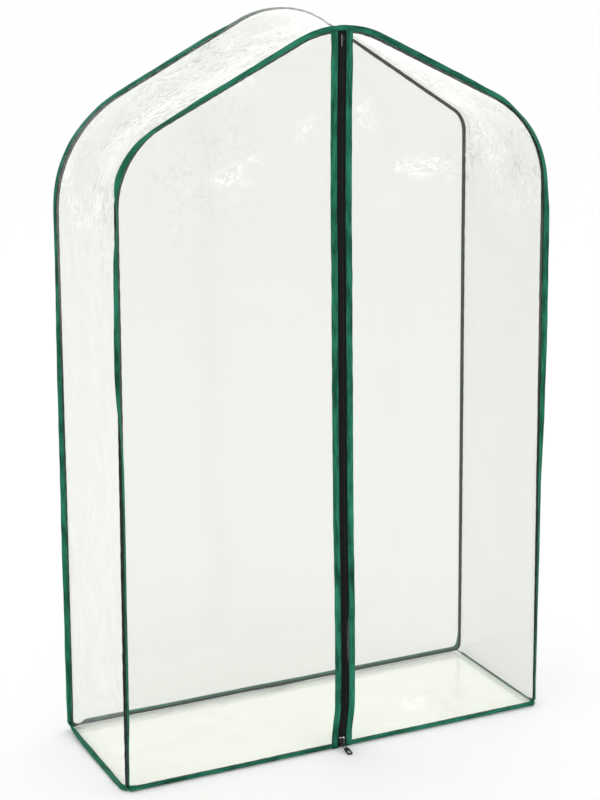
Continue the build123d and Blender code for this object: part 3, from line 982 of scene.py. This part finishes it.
def zip_coil(node, body, side, low, high):
    """Length of nylon coil from `low` to `high`; the right coil's teeth sit between the left one's."""
    box_low, box_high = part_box(node)
    centre_y = (box_low.y + box_high.y) / 2
    build = Build()
    add_core(build, side, low, min(high, PARKED_POST_Z), centre_y)
    turn = math.ceil((low + TOOTH_ROOM) / TOOTH_PITCH)
    shift = 0.0 if side < 0 else TOOTH_PITCH / 2
    while turn * TOOTH_PITCH + shift < high - TOOTH_ROOM:
        add_tooth(build, side, turn * TOOTH_PITCH + shift, centre_y)
        turn += 1
    coil = build.object(f"{node}_teeth", COIL)
    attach(coil, body)
    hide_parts(node)


def zip_chain(name, side):
    """A door flap's own length of coil, and the fixed length above its fold."""
    joint_z = (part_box("left_zip_coil")[1].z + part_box("left_top_zip_coil")[0].z) / 2
    flap_node = f"{name}_zip_coil"
    fixed_node = f"{name}_top_zip_coil"
    zip_coil(flap_node, f"{name}_flap", side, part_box(flap_node)[0].z, joint_z)
    zip_coil(fixed_node, "front_frame", side, joint_z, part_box(fixed_node)[1].z)


front_edge_binding()
back_edge_binding()
wire_sleeve("front", FRONT_LOOP, FRONT_SILL_Z, FRONT_SLEEVE, FRONT_Y + SLEEVE_IN, seed=5.0)
wire_sleeve("back", BACK_LOOP, BACK_SILL_Z, BACK_SLEEVE, BACK_Y - SLEEVE_IN, seed=11.0)
for name, side in SIDES:
    front_film(name, side)
back_film()
floor_film()
roof_film()
base_edge("left", base_frames(-1, HALF_W, LEFT_BASE_R, LEFT_BASE_TURN, LEFT_BASE_LIFT), LEFT_BASE_FULL)
base_welt("left", -1)
base_edge("right", base_frames(1, RIGHT_BASE_X, RIGHT_BASE_R, RIGHT_BASE_TURN, 0), RIGHT_BASE_FULL)
base_welt("right", 1)
for make in (zip_cloth, zip_binding, flap_hem, zip_chain):
    for name, side in SIDES:
        make(name, side)

for node in ("front_wire", "back_wire"):
    dress(node, STEEL)
for node in ("front_wire_ferrule", "back_wire_ferrule"):
    dress(node, ALUMINIUM)
for node in ("zip_slider", "slider_bridge", "pull_tab", "zip_top_stops"):
    dress(node, GUNMETAL)
dress("pull_tab_link", BRIGHT)
dress("front_sill_binding", TAPE)


# ---- stage, light and camera -----------------------------------------------------------------------
FLOOR_TONE = 0.965
FLOOR_HALF = 30
FLOOR_Z = -0.6 * MM               # just under the lowest piece
SKY_STRENGTH = 1.035
LAMP_AIM = Vector((0, 0, 0.7))
EYE = (-1.6308, -3.3707, 1.6946)
EYE_AZIMUTH = -25.68              # degrees left of straight in front
EYE_ELEVATION = 15.50
EYE_ROLL = -0.31
LENS = 91.56


def stage_floor():
    material = bpy.data.materials.new("stage_floor")
    material.use_nodes = True
    shader = material.node_tree.nodes["Principled BSDF"].inputs
    shader["Base Color"].default_value = (FLOOR_TONE, FLOOR_TONE, FLOOR_TONE, 1)
    shader["Roughness"].default_value = 0.9
    shader["Specular IOR Level"].default_value = 0.1
    mesh = bpy.data.meshes.new("stage_floor")
    corner = [(x * FLOOR_HALF, y * FLOOR_HALF, FLOOR_Z) for x, y in ((-1, -1), (1, -1), (1, 1), (-1, 1))]
    mesh.from_pydata(corner, [], [(0, 1, 2, 3)])
    floor = bpy.data.objects.new("stage_floor", mesh)
    floor.data.materials.append(material)
    bpy.context.scene.collection.objects.link(floor)


def sky():
    """Even white studio light."""
    world = bpy.data.worlds.new("studio")
    world.use_nodes = True
    background = world.node_tree.nodes["Background"].inputs
    background["Color"].default_value = (1, 1, 1, 1)
    background["Strength"].default_value = SKY_STRENGTH
    bpy.context.scene.world = world
    bpy.context.scene.view_settings.view_transform = "Standard"


def lamp(name, place, size, power):
    data = bpy.data.lights.new(name, "AREA")
    data.energy = power
    data.size = size
    made = bpy.data.objects.new(name, data)
    made.location = place
    made.rotation_euler = (LAMP_AIM - Vector(place)).to_track_quat("-Z", "Y").to_euler()
    bpy.context.scene.collection.objects.link(made)


def camera():
    """Stands left of the front, a little above the ridge, looking down at the object's middle."""
    azimuth = math.radians(EYE_AZIMUTH)
    elevation = math.radians(EYE_ELEVATION)
    backwards = Vector((math.sin(azimuth) * math.cos(elevation), -math.cos(azimuth) * math.cos(elevation),
                        math.sin(elevation)))
    data = bpy.data.cameras.new("camera")
    data.lens = LENS
    data.sensor_width = 36
    eye = bpy.data.objects.new("camera", data)
    eye.location = EYE
    eye.rotation_euler = (-backwards).to_track_quat("-Z", "Y").to_matrix().to_4x4().to_euler()
    eye.rotation_euler.rotate_axis("Z", math.radians(EYE_ROLL))
    bpy.context.scene.collection.objects.link(eye)
    bpy.context.scene.camera = eye


stage_floor()
sky()
lamp("key", (-2.6, -2.4, 3.0), size=0.35, power=4)
lamp("fill", (2.8, -2.2, 2.2), size=0.3, power=2.5)
lamp("top", (0.2, 0.6, 3.4), size=0.35, power=2.5)
lamp("rim", (-1.6, 3.0, 2.6), size=0.3, power=2.5)
camera()
